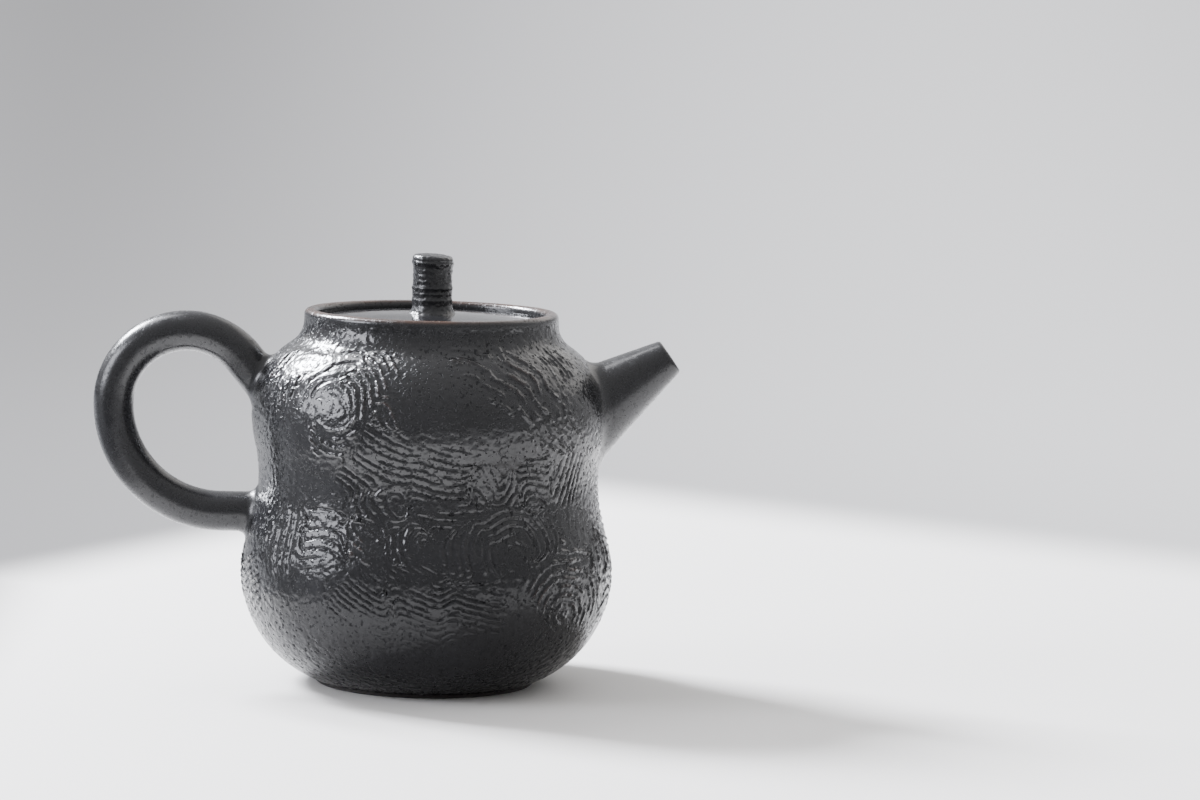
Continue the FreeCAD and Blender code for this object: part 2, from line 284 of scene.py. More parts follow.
def makeThrownTree():
    tree, given = openTree("thrownForm", thrownInputs)

    # the wheel: a flat sheet is wrapped round the axis along a stretch of the drawn profile
    columns = addNode(tree, "ShaderNodeMath", plus, {0: given["Spokes"], 1: 1.0})
    sheet = addNode(tree, "GeometryNodeMeshGrid", {}, {
        "Size X": 1.0, "Size Y": 1.0, "Vertices X": columns, "Vertices Y": given["Rings"]})
    where = addNode(tree, "GeometryNodeInputPosition")
    flat = addNode(tree, "ShaderNodeSeparateXYZ", {}, {0: where})
    stretch = addNode(tree, "ShaderNodeMapRange", {}, {
        "Value": flat.outputs["Y"], "From Min": -0.5, "From Max": 0.5,
        "To Min": given["Start"], "To Max": given["End"]})
    turn = addNode(tree, "ShaderNodeMath", times, {0: flat.outputs["X"], 1: math.tau})
    edge = addNode(tree, "GeometryNodeSampleCurve", {"mode": "FACTOR"}, {
        "Curves": given["Geometry"], "Factor": stretch})
    outward = addNode(tree, "ShaderNodeVectorMath", {"operation": "CROSS_PRODUCT"}, {
        0: (0.0, 1.0, 0.0), 1: edge.outputs["Tangent"]})
    wrapped, facing = (addNode(tree, "ShaderNodeVectorRotate", {"rotation_type": "Z_AXIS"}, {
        "Vector": way, "Angle": turn}) for way in (edge.outputs["Position"], outward))
    form = addNode(tree, "GeometryNodeStoreNamedAttribute", {"data_type": "FLOAT_VECTOR"}, {
        "Geometry": sheet, "Name": "facing", "Value": facing})
    form = addNode(tree, "GeometryNodeSetPosition", {}, {"Geometry": form, "Position": wrapped})
    form = addNode(tree, "GeometryNodeMergeByDistance", {}, {"Geometry": form, "Distance": almostNothing})

    # the place in millimetres, pushed about so that the rings of the grain wander
    place = addNode(tree, "ShaderNodeVectorMath", scaled, {0: where, "Scale": 1 / mm})
    drift = addNode(tree, "ShaderNodeTexNoise", {}, {"Vector": place, "Scale": 1 / grain["wanderSize"], "Detail": 1.0})
    drift = addNode(tree, "ShaderNodeVectorMath", {"operation": "SUBTRACT"}, {
        0: drift.outputs["Color"], 1: (0.5, 0.5, 0.5)})
    moved = addNode(tree, "ShaderNodeVectorMath", timesPlus, {0: drift, 1: (2 * grain["wanderDepth"],) * 3, 2: place})
    bent = 0.0  # strokes swirl, fork and fray by finer and finer noise
    for name in ("swirl", "fork", "ragged"):
        bend = addNode(tree, "ShaderNodeTexNoise", {}, {
            "Vector": place, "Scale": 1 / grain[name + "Size"], "Detail": 0.5})
        bent = addNode(tree, "ShaderNodeMath", timesPlus, {0: bend, 1: 2 * grain[name + "Depth"], 2: bent})
    sums, worked = (0.0, 0.0, 0.0), 0.0  # weighed phase, weight and cut share; how near the nearest run is
    for runTurn, runHeight, reach, lean, radius, gap, cut in grain["runs"]:
        middle, angle, side = onBody(runTurn, runHeight), math.radians(lean), math.radians(runTurn)
        level = math.cos(angle)
        eye = middle + radius * Vector((level * math.cos(side), level * math.sin(side), math.sin(angle)))
        away = addNode(tree, "ShaderNodeVectorMath", apart, {0: place, 1: middle}).outputs["Value"]
        near = addNode(tree, "ShaderNodeMapRange", {}, {
            "Value": away, "From Min": grain["runFrom"] * reach, "From Max": grain["runTo"] * reach,
            "To Min": 1.0, "To Max": 0.0})
        worked = addNode(tree, "ShaderNodeMath", largest, {0: near, 1: worked})
        away = addNode(tree, "ShaderNodeVectorMath", apart, {0: moved, 1: eye}).outputs["Value"]
        away = addNode(tree, "ShaderNodeMath", plus, {0: away, 1: bent})
        ring = addNode(tree, "ShaderNodeMath", timesPlus, {0: away, 1: 1 / gap, 2: -radius / gap})
        share = addNode(tree, "ShaderNodeCombineXYZ", {}, {"X": ring, "Y": 1.0, "Z": float(cut)})
        near = addNode(tree, "ShaderNodeMath", {"operation": "POWER"}, {0: near, 1: grain["runGrip"]})
        sums = addNode(tree, "ShaderNodeVectorMath", timesPlus, {0: share, 1: near, 2: sums})
    sums = addNode(tree, "ShaderNodeSeparateXYZ", {}, {0: sums}).outputs
    weight = addNode(tree, "ShaderNodeMath", largest, {0: sums["Y"], 1: almostNothing})
    cut = addNode(tree, "ShaderNodeMath", over, {0: sums["Z"], 1: weight})

    # strokes a gap apart, raised or cut
    phase = addNode(tree, "ShaderNodeMath", over, {0: sums["X"], 1: weight})
    wave = addNode(tree, "ShaderNodeMath", times, {0: phase, 1: math.tau})
    wave = addNode(tree, "ShaderNodeMath", {"operation": "COSINE"}, {0: wave})
    shapes = {}
    for name, shift, depth in (("raised", 0.0, 1.0), ("cut", 0.5, -grain["cutDepth"])):
        low, high = grain[name + "From"]
        shape = addNode(tree, "ShaderNodeMapRange", eased, {
            "Value": wave, "From Min": low, "From Max": high, "To Max": depth})
        stroke = addNode(tree, "ShaderNodeMath", plus, {0: phase, 1: shift})
        stroke = addNode(tree, "ShaderNodeMath", {"operation": "ROUND"}, {0: stroke})
        stroke = addNode(tree, "ShaderNodeMath", times, {0: stroke, 1: grain["strokeSeed"]})
        share = addNode(tree, "ShaderNodeTexNoise", fourWay, {
            "Vector": place, "W": stroke, "Scale": 1 / grain["strokeSize"], "Detail": 0.0})
        low, high = grain["strokeFrom"]
        share = addNode(tree, "ShaderNodeMapRange", eased, {"Value": share, "From Min": low, "From Max": high})
        shapes[name] = addNode(tree, "ShaderNodeMath", times, {0: shape, 1: share})
    ridge = addNode(tree, "ShaderNodeMix", {}, {"Factor": cut, "A": shapes["raised"], "B": shapes["cut"]})

    # how deep the grain is worked: smooth patches and islands, smoothed joints, plain foot and neck
    patch = addNode(tree, "ShaderNodeTexNoise", fourWay, {
        "Vector": place, "W": grain["patchSeed"], "Scale": 1 / grain["patchSize"], "Detail": 2.0})
    patch = addNode(tree, "ShaderNodeMath", timesPlus, {0: patch, 1: grain["patchShare"], 2: worked})
    height = addNode(tree, "ShaderNodeSeparateXYZ", {}, {0: place}).outputs["Z"]
    worn = addNode(tree, "ShaderNodeTexNoise", {}, {"Vector": place, "Scale": 1 / grain["wornSize"], "Detail": 1.0})
    fades = [(patch, grain["patchFrom"], 0.0, 1.0), (worn, grain["wornFrom"], grain["wornLeast"], grain["wornMost"]),
             (height, grain["fadeLow"], 0.0, 1.0), (height, grain["fadeHigh"], 1.0, 0.0)]
    for limbTurn, limbHeight, inner, outer in grain["smoothed"]:
        away = addNode(tree, "ShaderNodeVectorMath", apart, {0: place, 1: onBody(limbTurn, limbHeight)})
        fades.append((away.outputs["Value"], (inner, outer), 0.0, 1.0))
    for value, (low, high), start, end in fades:
        fade = addNode(tree, "ShaderNodeMapRange", eased, {
            "Value": value, "From Min": low, "From Max": high, "To Min": start, "To Max": end})
        ridge = addNode(tree, "ShaderNodeMath", times, {0: ridge, 1: fade})

    # the hand's unevenness, and everything pushed out along the surface
    push = addNode(tree, "ShaderNodeMath", times, {0: ridge, 1: given["Ridge height"]})
    size = addNode(tree, "ShaderNodeMath", over, {0: 1.0, 1: given["Dent size"]})
    dent = addNode(tree, "ShaderNodeTexNoise", fourWay, {
        "Vector": place, "W": given["Seed"], "Scale": size, "Detail": 1.0})
    dent = addNode(tree, "ShaderNodeMapRange", {}, {"Value": dent, "To Min": -1.0, "To Max": 1.0})
    dent = addNode(tree, "ShaderNodeMath", times, {0: dent, 1: given["Dent depth"]})
    push = addNode(tree, "ShaderNodeMath", plus, {0: push, 1: dent})
    size = addNode(tree, "ShaderNodeMath", over, {0: 1.0, 1: given["Grit size"]})
    grit = addNode(tree, "ShaderNodeTexNoise", {}, {"Vector": place, "Scale": size, "Detail": 1.0})
    low, high = noiseReach
    grit = addNode(tree, "ShaderNodeMapRange", {}, {
        "Value": grit, "From Min": low, "From Max": high, "To Min": -0.5, "To Max": 0.5})
    push = addNode(tree, "ShaderNodeMath", timesPlus, {0: grit, 1: given["Grit depth"], 2: push})
    push = addNode(tree, "ShaderNodeMath", times, {0: push, 1: mm})
    facing = addNode(tree, "GeometryNodeInputNamedAttribute", {"data_type": "FLOAT_VECTOR"}, {"Name": "facing"})
    push = addNode(tree, "ShaderNodeVectorMath", scaled, {0: facing.outputs["Attribute"], "Scale": push})
    form = addNode(tree, "GeometryNodeStoreNamedAttribute", {}, {
        "Geometry": form, "Name": "grainRidge", "Value": ridge})
    form = addNode(tree, "GeometryNodeSetPosition", {}, {"Geometry": form, "Offset": push})
    form = addNode(tree, "GeometryNodeRemoveAttribute", {}, {"Geometry": form, "Name": "facing"})
    return closeTree(tree, form, given["Finish"])


def setInputs(modifier, values):  # by the socket's identifier, before the object is first evaluated
    for item in modifier.node_group.interface.items_tree:
        if item.in_out == "INPUT" and item.name in values:
            modifier[item.identifier] = values[item.name]


def profileCurve(name, points):
    data = bpy.data.curves.new(name, "CURVE")
    data.dimensions = "3D"
    spline = data.splines.new("POLY")
    spline.points.add(len(points) - 1)
    for place, (radius, height) in zip(spline.points, points):
        place.co = (radius * mm, 0, height * mm, 1)
    curve = bpy.data.objects.new(name, data)
    scene.collection.objects.link(curve)
    return curve


def finished(source, name):  # the modifier's result becomes a plain mesh object
    graph = bpy.context.evaluated_depsgraph_get()
    mesh = bpy.data.meshes.new_from_object(source.evaluated_get(graph), preserve_all_data_layers=True, depsgraph=graph)
    data = source.data
    bpy.data.objects.remove(source)
    if isinstance(data, bpy.types.Curve):
        bpy.data.curves.remove(data)
    return meshObject(mesh, name)


def meshObject(mesh, name):
    mesh.name = name
    mesh.shade_smooth()
    mesh.set_sharp_from_angle(angle=math.radians(sharpBend))
    piece = bpy.data.objects.new(name, mesh)
    scene.collection.objects.link(piece)
    return piece


def thrown(name, points, finish, rings, spokes, start=0.0, end=1.0, ridgeHeight=0.0, dentSize=14.0, dentDepth=0.05,
           gritSize=0.9, gritDepth=0.0, seed=1.0):
    curve = profileCurve(name, points)
    modifier = curve.modifiers.new("thrown", "NODES")
    modifier.node_group = thrownTree
    setInputs(modifier, {
        "Start": start, "End": end, "Rings": rings, "Spokes": spokes, "Ridge height": ridgeHeight,
        "Dent size": dentSize, "Dent depth": dentDepth, "Grit size": gritSize, "Grit depth": gritDepth,
        "Seed": seed, "Finish": finish})
    return finished(curve, name)


def settle(piece, body, slot, *nodes):
    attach(piece, body)
    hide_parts(*nodes)
    print(piece.name, len(piece.data.polygons), "faces")


thrownTree = makeThrownTree()
print("grain tree built")

# Finishes

glazeLook = {
    "black": "#121213", "brown": "#3a2418", "grey": "#202022",
    "ior": 1.5, "roughness": (0.13, 0.22), "shine": 0.5,
    "cloudSize": 11.0,
    "peelSize": 2.4, "peelDepth": 0.05,
    "gritSize": 1.0, "gritDepth": 0.06,
    # the lower specular level in pits is painted shade: dark specks standing in for shadow in the pits
    "pitSize": 0.75, "pitSeed": 2.0, "pitFrom": (0.58, 0.66), "pitDepth": 0.05, "pitDull": 0.45, "pitShadeShine": 0.22,
    "thinFrom": (0.52, 0.72), "thinMost": 0.3, "crestFrom": (0.4, 1.0),  # brown on the crests, here and there
    "rimFrom": (0.38, 0.6), "rimLeast": 0.35,  # how patchy the brown of the rim is
    # the lower specular level in grooves is painted shade, standing in for occlusion in the narrow cuts
    "grooveShadeFrom": (-0.15, -0.7), "grooveShadeShine": 0.5,
    "lowShadeFrom": (7, 48), "lowShadeShine": 0.25,  # painted shade: reflections dimmed towards the foot
}


def openMaterial(name):
    material = bpy.data.materials.new(name)
    material.use_nodes = True
    material.node_tree.nodes.clear()
    place = addNode(material.node_tree, "ShaderNodeTexCoord").outputs["Object"]
    height = addNode(material.node_tree, "ShaderNodeSeparateXYZ", {}, {0: place}).outputs["Z"]
    return material, material.node_tree, place, height


# Iron-saturated stoneware glaze, fired black: wet-looking but pebbled like orange peel, with grit that breaks
# the highlights into specks, thin and brown where it ran off edges and ridges.
def makeGlaze(name, grit, rough, brownFrom=None):
    look = glazeLook
    material, tree, place, height = openMaterial(name)
    cloud, peel, speck = (addNode(tree, "ShaderNodeTexNoise", {}, {
        "Vector": place, "Scale": 1 / (look[size] * mm), "Detail": detail})
        for size, detail in (("cloudSize", 4.0), ("peelSize", 2.0), ("gritSize", 1.0)))
    pit = addNode(tree, "ShaderNodeTexNoise", fourWay, {
        "Vector": place, "W": look["pitSeed"], "Scale": 1 / (look["pitSize"] * mm), "Detail": 1.0})
    low, high = look["pitFrom"]
    pit = addNode(tree, "ShaderNodeMapRange", eased, {
        "Value": pit, "From Min": low, "From Max": high, "To Max": min(1.0, grit)})
    ridge = addNode(tree, "ShaderNodeAttribute", {"attribute_name": "grainRidge"}).outputs["Fac"]
    # colour: black with greyer clouds, brown where the glaze is thin
    low, high = look["thinFrom"]
    thin = addNode(tree, "ShaderNodeMapRange", {}, {
        "Value": cloud, "From Min": low, "From Max": high, "To Max": look["thinMost"]})
    low, high = look["crestFrom"]
    crest = addNode(tree, "ShaderNodeMapRange", eased, {"Value": ridge, "From Min": low, "From Max": high})
    thin = addNode(tree, "ShaderNodeMath", times, {0: thin, 1: crest})
    if brownFrom:
        low, high = brownFrom
        upper = addNode(tree, "ShaderNodeMapRange", eased, {
            "Value": height, "From Min": low * mm, "From Max": high * mm})
        low, high = look["rimFrom"]
        patchy = addNode(tree, "ShaderNodeMapRange", {}, {
            "Value": cloud, "From Min": low, "From Max": high, "To Min": look["rimLeast"]})
        upper = addNode(tree, "ShaderNodeMath", times, {0: upper, 1: patchy})
        thin = addNode(tree, "ShaderNodeMath", largest, {0: thin, 1: upper})
    body = addNode(tree, "ShaderNodeMix", inColour, {
        "Factor": cloud, "A": linear(look["black"]), "B": linear(look["grey"])})
    colour = addNode(tree, "ShaderNodeMix", inColour, {
        "Factor": thin, "A": body.outputs[2], "B": linear(look["brown"])})
    # gloss: rougher in pits, and reflections dimmed in pits, in grooves and low on the pot as painted shade
    (low, high), (least, most) = noiseReach, look["roughness"]
    gloss = addNode(tree, "ShaderNodeMapRange", {}, {
        "Value": peel, "From Min": low, "From Max": high, "To Min": least + rough, "To Max": most + rough})
    dull = addNode(tree, "ShaderNodeMath", timesPlus, {0: pit, 1: look["pitDull"], 2: gloss})
    shine = addNode(tree, "ShaderNodeMapRange", {}, {"Value": pit, "To Min": look["shine"], "To Max": look["pitShadeShine"]})
    # painted shade: reflections dimmed in the grooves of the grain
    low, high = look["grooveShadeFrom"]
    grooveShade = addNode(tree, "ShaderNodeMapRange", {}, {
        "Value": ridge, "From Min": low, "From Max": high, "To Min": 1.0, "To Max": look["grooveShadeShine"]})
    shine = addNode(tree, "ShaderNodeMath", times, {0: shine, 1: grooveShade})
    # painted shade: reflections dimmed low on the pot
    low, high = look["lowShadeFrom"]
    lowShade = addNode(tree, "ShaderNodeMapRange", {}, {
        "Value": height, "From Min": low * mm, "From Max": high * mm, "To Min": look["lowShadeShine"]})
    shine = addNode(tree, "ShaderNodeMath", times, {0: shine, 1: lowShade})
    bump = {}
    for depth, source, sunk in (("peelDepth", peel, False), ("gritDepth", speck, False), ("pitDepth", pit, True)):
        bump = {"Normal": addNode(tree, "ShaderNodeBump", {"invert": sunk}, {
            "Height": source, "Strength": 1.0, "Distance": look[depth] * grit * mm, **bump})}
    shader = addNode(tree, "ShaderNodeBsdfPrincipled", {}, {
        "Base Color": colour.outputs[2], "Roughness": dull, "IOR": look["ior"], "Specular IOR Level": shine, **bump})
    addNode(tree, "ShaderNodeOutputMaterial", {}, {"Surface": shader})
    return material


clayLook = {
    "dark": "#3b2219", "light": "#6d4533", "darkLow": "#171110", "darkLowFrom": (2, 7), "roughness": (0.6, 0.85),
    "grainSize": 0.7, "grainDepth": 0.03, "grainShare": 0.5, "cloudSize": 9.0, "lightFrom": (0.5, 1.0),
}


# Bare iron-rich stoneware: matt, reddish brown, with sand in it, darker towards the foot
def makeClay():
    look = clayLook
    material, tree, place, height = openMaterial("bareStoneware")
    cloud, sand = (addNode(tree, "ShaderNodeTexNoise", {}, {
        "Vector": place, "Scale": 1 / (look[size] * mm), "Detail": detail})
        for size, detail in (("cloudSize", 5.0), ("grainSize", 3.0)))
    mixed = addNode(tree, "ShaderNodeMath", timesPlus, {0: sand, 1: look["grainShare"], 2: cloud})
    low, high = look["lightFrom"]
    share = addNode(tree, "ShaderNodeMapRange", {}, {"Value": mixed, "From Min": low, "From Max": high})
    colour = addNode(tree, "ShaderNodeMix", inColour, {
        "Factor": share, "A": linear(look["dark"]), "B": linear(look["light"])})
    # the clay turns near black towards the foot
    low, high = look["darkLowFrom"]
    aboveDarkLow = addNode(tree, "ShaderNodeMapRange", {}, {"Value": height, "From Min": low * mm, "From Max": high * mm})
    colour = addNode(tree, "ShaderNodeMix", inColour, {
        "Factor": aboveDarkLow, "A": linear(look["darkLow"]), "B": colour.outputs[2]})
    low, high = look["roughness"]
    rough = addNode(tree, "ShaderNodeMapRange", {}, {"Value": sand, "To Min": low, "To Max": high})
    bump = addNode(tree, "ShaderNodeBump", {}, {"Height": sand, "Strength": 1.0, "Distance": look["grainDepth"] * mm})
    shader = addNode(tree, "ShaderNodeBsdfPrincipled", {}, {
        "Base Color": colour.outputs[2], "Roughness": rough, "Normal": bump})
    addNode(tree, "ShaderNodeOutputMaterial", {}, {"Surface": shader})
    return material


# share of the grit, change of roughness, and the heights between which the rim turns brown
grainGlaze = makeGlaze("blackIronGlazeOnGrain", 1.0, 0.0)
smoothGlaze = makeGlaze("blackIronGlaze", 0.35, 0.08)
lidGlaze = makeGlaze("blackIronGlazePooled", 0.15, -0.08)
rimGlaze = makeGlaze("blackIronGlazeBrownRim", 0.6, 0.04, (84.1, 84.9))
bareClay = makeClay()
print("finishes made")

# Gourd body: four bands of one skin, the rim with its gallery, the seat, the inside and the foot

bodySet = {
    "bands": ("potFootBand", "potBelly", "potWaist", "potShoulder"), "bandMesh": (106, 940),  # rings and spokes
    "rimMesh": (90, 360), "seatMesh": (60, 360), "insideMesh": (150, 180), "footMesh": (90, 180),
    "ridgeHeight": 0.34, "gritSize": 1.3, "gritDepth": 0.11,
    "uneven": {"dentSize": 16.0, "dentDepth": 0.12}, "unevenInside": {"dentDepth": 0.1}, "evenFoot": {"dentDepth": 0.0},
}


def makeBody():
    bands, uneven = bodySet["bands"], bodySet["uneven"]
    relief = {name: bodySet[name] for name in ("ridgeHeight", "gritSize", "gritDepth")}
    for i, name in enumerate(bands):
        band = thrown(name, outsideLine, grainGlaze, *bodySet["bandMesh"], i / len(bands), (i + 1) / len(bands),
                      **relief, **uneven)
        settle(band, "pot", "black_glaze", "pot_body")
    for name, line, finish, counts, dents, slot in (
            ("potRim", rimLine, rimGlaze, bodySet["rimMesh"], uneven, "black_glaze"),
            ("potSeat", seatLine, bareClay, bodySet["seatMesh"], uneven, "bare_clay"),
            ("potInside", insideLine, smoothGlaze, bodySet["insideMesh"], bodySet["unevenInside"], "black_glaze"),
            ("potFoot", footLine, bareClay, bodySet["footMesh"], bodySet["evenFoot"], "bare_clay")):
        settle(thrown(name, line, finish, *counts, **dents), "pot", slot, "pot_body")


makeBody()
print("body thrown")

# Lid: plate and ringed knob

lid = {
    "plateRadius": 25.5, "low": 80.2, "top": 83.2, "round": 0.7, "crown": 1.2,
    "lowEdgeSteps": 6, "topEdgeSteps": 8, "topEdgeTurn": 88, "crownSteps": 12,
    "ventRadius": 1.2, "ventOffset": 11.0, "ventSides": 40,
    "rings": 220, "spokes": 240, "uneven": {"dentSize": 9.0, "dentDepth": 0.06},
}
knob = {
    # radius and height above the lid of each swell and hollow, uneven as the fingers left them
    "line": [
        (5.9, 0.7), (5.35, 1.2), (4.9, 1.75), (4.66, 2.3), (4.5, 2.9), (4.5, 3.3), (4.6, 4.0), (4.64, 4.3),
        (4.48, 4.75), (4.45, 5.2), (4.5, 5.7), (4.44, 6.1), (4.5, 6.6), (4.64, 7.0), (4.48, 7.5), (4.42, 8.0),
        (4.47, 8.5), (4.41, 9.0), (4.46, 9.6), (4.42, 10.2), (4.48, 10.8), (4.45, 11.4), (4.56, 12.0), (4.7, 12.5),
        (4.74, 12.8), (4.58, 13.15), (4.62, 13.5), (4.5, 13.9), (4.1, 14.25), (2.6, 14.55), (0.0, 14.6),
    ],
    "lean": -0.06,  # the top is higher on the handle side
    "rings": 150, "spokes": 120, "lineSteps": 8,
    "uneven": {"dentSize": 4.0, "dentDepth": 0.16, "gritSize": 1.1, "gritDepth": 0.16, "seed": 3.0},
}


def smoothLine(points, count):  # a soft line through a few radii and heights
    line, last = [], len(points) - 1
    for i in range(last):
        before, start, end, after = (Vector(points[max(0, min(j, last))]) for j in (i - 1, i, i + 1, i + 2))
        for step in range(count):
            t = step / count
            bend = (end - before) * t * (1 - t) ** 2 / 2 - (after - start) * t ** 2 * (1 - t) / 2
            line.append(tuple(start * (1 + 2 * t) * (1 - t) ** 2 + end * t * t * (3 - 2 * t) + bend))
    return line + [points[-1]]


def pierced(piece, place, radius, depth, sides):  # a round hole, cut and made part of the mesh
    pin = bmesh.new()
    bmesh.ops.create_cone(pin, cap_ends=True, segments=sides, radius1=radius * mm, radius2=radius * mm,
                          depth=depth * mm, matrix=Matrix.Translation(Vector(place) * mm))
    mesh = bpy.data.meshes.new("pin")
    pin.to_mesh(mesh)
    pin.free()
    for material in piece.data.materials:
        mesh.materials.append(material)
    for face in mesh.polygons:
        face.material_index = piece.data.polygons[0].material_index
    tool = bpy.data.objects.new("pin", mesh)
    scene.collection.objects.link(tool)
    cut = piece.modifiers.new("hole", "BOOLEAN")
    cut.operation, cut.solver, cut.object = "DIFFERENCE", "EXACT", tool
    piece = finished(piece, piece.name)
    bpy.data.objects.remove(tool)
    bpy.data.meshes.remove(mesh)
    return piece


def makeLid():
    low, top, edge, rounding = lid["low"], lid["top"], lid["plateRadius"], lid["round"]
    line = [(0, low), (edge - rounding, low)]
    line += arcPoints((edge - rounding, low + rounding), rounding, -90, 0, lid["lowEdgeSteps"])
    line += arcPoints((edge - rounding, top - rounding), rounding, 0, lid["topEdgeTurn"], lid["topEdgeSteps"])
    shares = [1 - i / lid["crownSteps"] for i in range(1, lid["crownSteps"] + 1)]
    line += [(edge * share, top + lid["crown"] * (1 - share ** 2)) for share in shares]
    plate = thrown("lidPlate", line, lidGlaze, lid["rings"], lid["spokes"], **lid["uneven"])
    vent = (0, lid["ventOffset"], (low + top) / 2)
    plate = pierced(plate, vent, lid["ventRadius"], 2 * (top - low), lid["ventSides"])
    settle(plate, "lid", "black_glaze", "lid_plate")
    line = [(radius, top + height) for radius, height in smoothLine(knob["line"], knob["lineSteps"])]
    piece = thrown("lidKnob", line, smoothGlaze, knob["rings"], knob["spokes"], **knob["uneven"])
    for vertex in piece.data.vertices:
        share = max(0.0, (vertex.co.z / mm - top) / knob["line"][-1][1])
        vertex.co.z += knob["lean"] * vertex.co.x * share ** 3
    settle(piece, "lid", "black_glaze", "lid_knob")


makeLid()
print("lid made")

# Cone spout, turned on its own axis and set against the shoulder

spout = {
    "height": 65.5, "rise": 35.2, "length": 17.8, "rootRadius": 8.8, "tipRadius": 4.2,
    "lip": 1.5, "lipRound": 0.5, "lipFrom": 10, "lipSteps": 6, "rootWall": 2.4, "sink": 1.2, "seam": 3.0,
    "rings": 150, "spokes": 144, "uneven": {"dentSize": 8.0, "dentDepth": 0.07, "seed": 5.0},
}
spoutAngle = math.radians(spout["rise"])
spoutAxis = Vector((math.cos(spoutAngle), 0, math.sin(spoutAngle)))
spoutSeat = Vector((bodyRadius(spout["height"]), 0, spout["height"]))
spoutTurn = spoutAxis.to_track_quat("Z", "Y").to_matrix()
spoutTaper = (spout["rootRadius"] - spout["tipRadius"]) / spout["length"]
wallSearch = {"span": 25.0, "halvings": 40}


def leavesWall(start, axis, out, radius, taper, under=0.0):  # how far along a limb its side comes out of the wall
    low, high = -wallSearch["span"], wallSearch["span"]
    for step in range(wallSearch["halvings"]):
        middle = (low + high) / 2
        spot = start + axis * middle + out * (radius - taper * middle)
        if spot.xy.length > bodyRadius(spot.z) - under:
            high = middle
        else:
            low = middle
    return high


def makeSpout():
    length, sink, spokes, rounding = spout["length"], spout["sink"], spout["spokes"], spout["lipRound"]
    tip, wide = spout["tipRadius"], spout["rootRadius"]
    boreTip, boreRoot = tip - spout["lip"], wide - spout["rootWall"]
    boreTaper = (boreRoot - boreTip) / length
    line = [(wide + spoutTaper * sink, -sink), (tip + spoutTaper * rounding, length - rounding)]
    line += arcPoints((tip - rounding, length - rounding), rounding, spout["lipFrom"], 90, spout["lipSteps"])
    line += arcPoints((boreTip + rounding, length - rounding), rounding, 90, 180, spout["lipSteps"])
    line.append((boreRoot + boreTaper * sink, -sink))
    piece = thrown("spoutCone", line, smoothGlaze, spout["rings"], spokes, **spout["uneven"])
    roots = {}
    for vertex in piece.data.vertices:  # both ends of each line along the cone are drawn to just under the wall
        x, y, z = vertex.co / mm
        reach = math.hypot(x, y)
        outer = reach > (wide + boreRoot - (spoutTaper + boreTaper) * z) / 2
        slope, root = (spoutTaper, wide) if outer else (boreTaper, boreRoot)
        spoke = (round(math.atan2(y, x) / math.tau * spokes), outer)
        if spoke not in roots:
            out = spoutTurn @ Vector((x, y, 0)).normalized()
            roots[spoke] = leavesWall(spoutSeat, spoutAxis, out, root, slope, sink)
        fresh = roots[spoke] + (z + sink) * (length - roots[spoke]) / (length + sink)
        grown = (reach + slope * (z - fresh)) / reach
        vertex.co = Vector((x * grown, y * grown, fresh)) * mm
    piece.data.transform(Matrix.Translation(spoutSeat * mm) @ spoutTurn.to_4x4())
    settle(piece, "pot", "black_glaze", "spout")


makeSpout()
print("spout made")

# Ear handle: a pulled bar along two straight roots and two arcs

ear = {
    "radius": 4.55, "far": 71.8, "sweep": 24.5, "crown": 16.6, "turnHeight": 62.6, "entry": 51.0,
    "sink": 2.6, "reach": 7.9, "seam": 2.6, "arcSteps": 48, "sides": 64, "steps": 260,
    "swellSize": 22.0, "swellShare": 0.05, "dentSize": 7.0, "dentDepth": 0.06,
}
barInputs = (
    ("Radius", "Float"), ("Sides", "Int"), ("Steps", "Int"), ("Swell size", "Float"), ("Swell share", "Float"),
    ("Finish", "Material"),
)


def earPath():
    sweep, crown = ((ear[name] - ear["far"], ear["turnHeight"]) for name in ("sweep", "crown"))
    low = arcPoints(sweep, ear["sweep"], 270, 180, ear["arcSteps"])
    high = arcPoints(crown, ear["crown"], 180, 90 - ear["entry"], ear["arcSteps"])
    dive, reach = math.radians(ear["entry"]), ear["reach"]
    root = (-bodyRadius(low[0][1]) + ear["sink"], low[0][1])
    end = (high[-1][0] + reach * math.cos(dive), high[-1][1] - reach * math.sin(dive))
    return [root] + low + high[1:] + [end]


def makeBarTree():
    tree, given = openTree("pulledBar", barInputs)
    path = addNode(tree, "GeometryNodeResampleCurve", {}, {"Curve": given["Geometry"], "Count": given["Steps"]})
    where = addNode(tree, "GeometryNodeInputPosition")
    size = addNode(tree, "ShaderNodeMath", over, {0: 1 / mm, 1: given["Swell size"]})
    swell = addNode(tree, "ShaderNodeTexNoise", {}, {"Vector": where, "Scale": size, "Detail": 0.0})
    swell = addNode(tree, "ShaderNodeMapRange", {}, {"Value": swell, "To Min": -1.0, "To Max": 1.0})
    swell = addNode(tree, "ShaderNodeMath", timesPlus, {0: swell, 1: given["Swell share"], 2: 1.0})
    path = addNode(tree, "GeometryNodeSetCurveRadius", {}, {"Curve": path, "Radius": swell})
    ring = addNode(tree, "GeometryNodeCurvePrimitiveCircle", {}, {
        "Resolution": given["Sides"], "Radius": given["Radius"]})
    bar = addNode(tree, "GeometryNodeCurveToMesh", {}, {"Curve": path, "Profile Curve": ring, "Fill Caps": True})
    depth = ear["dentDepth"] * mm
    dent = addNode(tree, "ShaderNodeTexNoise", {}, {
        "Vector": where, "Scale": 1 / (ear["dentSize"] * mm), "Detail": 1.0})
    dent = addNode(tree, "ShaderNodeMapRange", {}, {"Value": dent, "To Min": -depth, "To Max": depth})
    facing = addNode(tree, "GeometryNodeInputNormal")
    push = addNode(tree, "ShaderNodeVectorMath", scaled, {0: facing, "Scale": dent})
    bar = addNode(tree, "GeometryNodeSetPosition", {}, {"Geometry": bar, "Offset": push})
    return closeTree(tree, bar, given["Finish"])


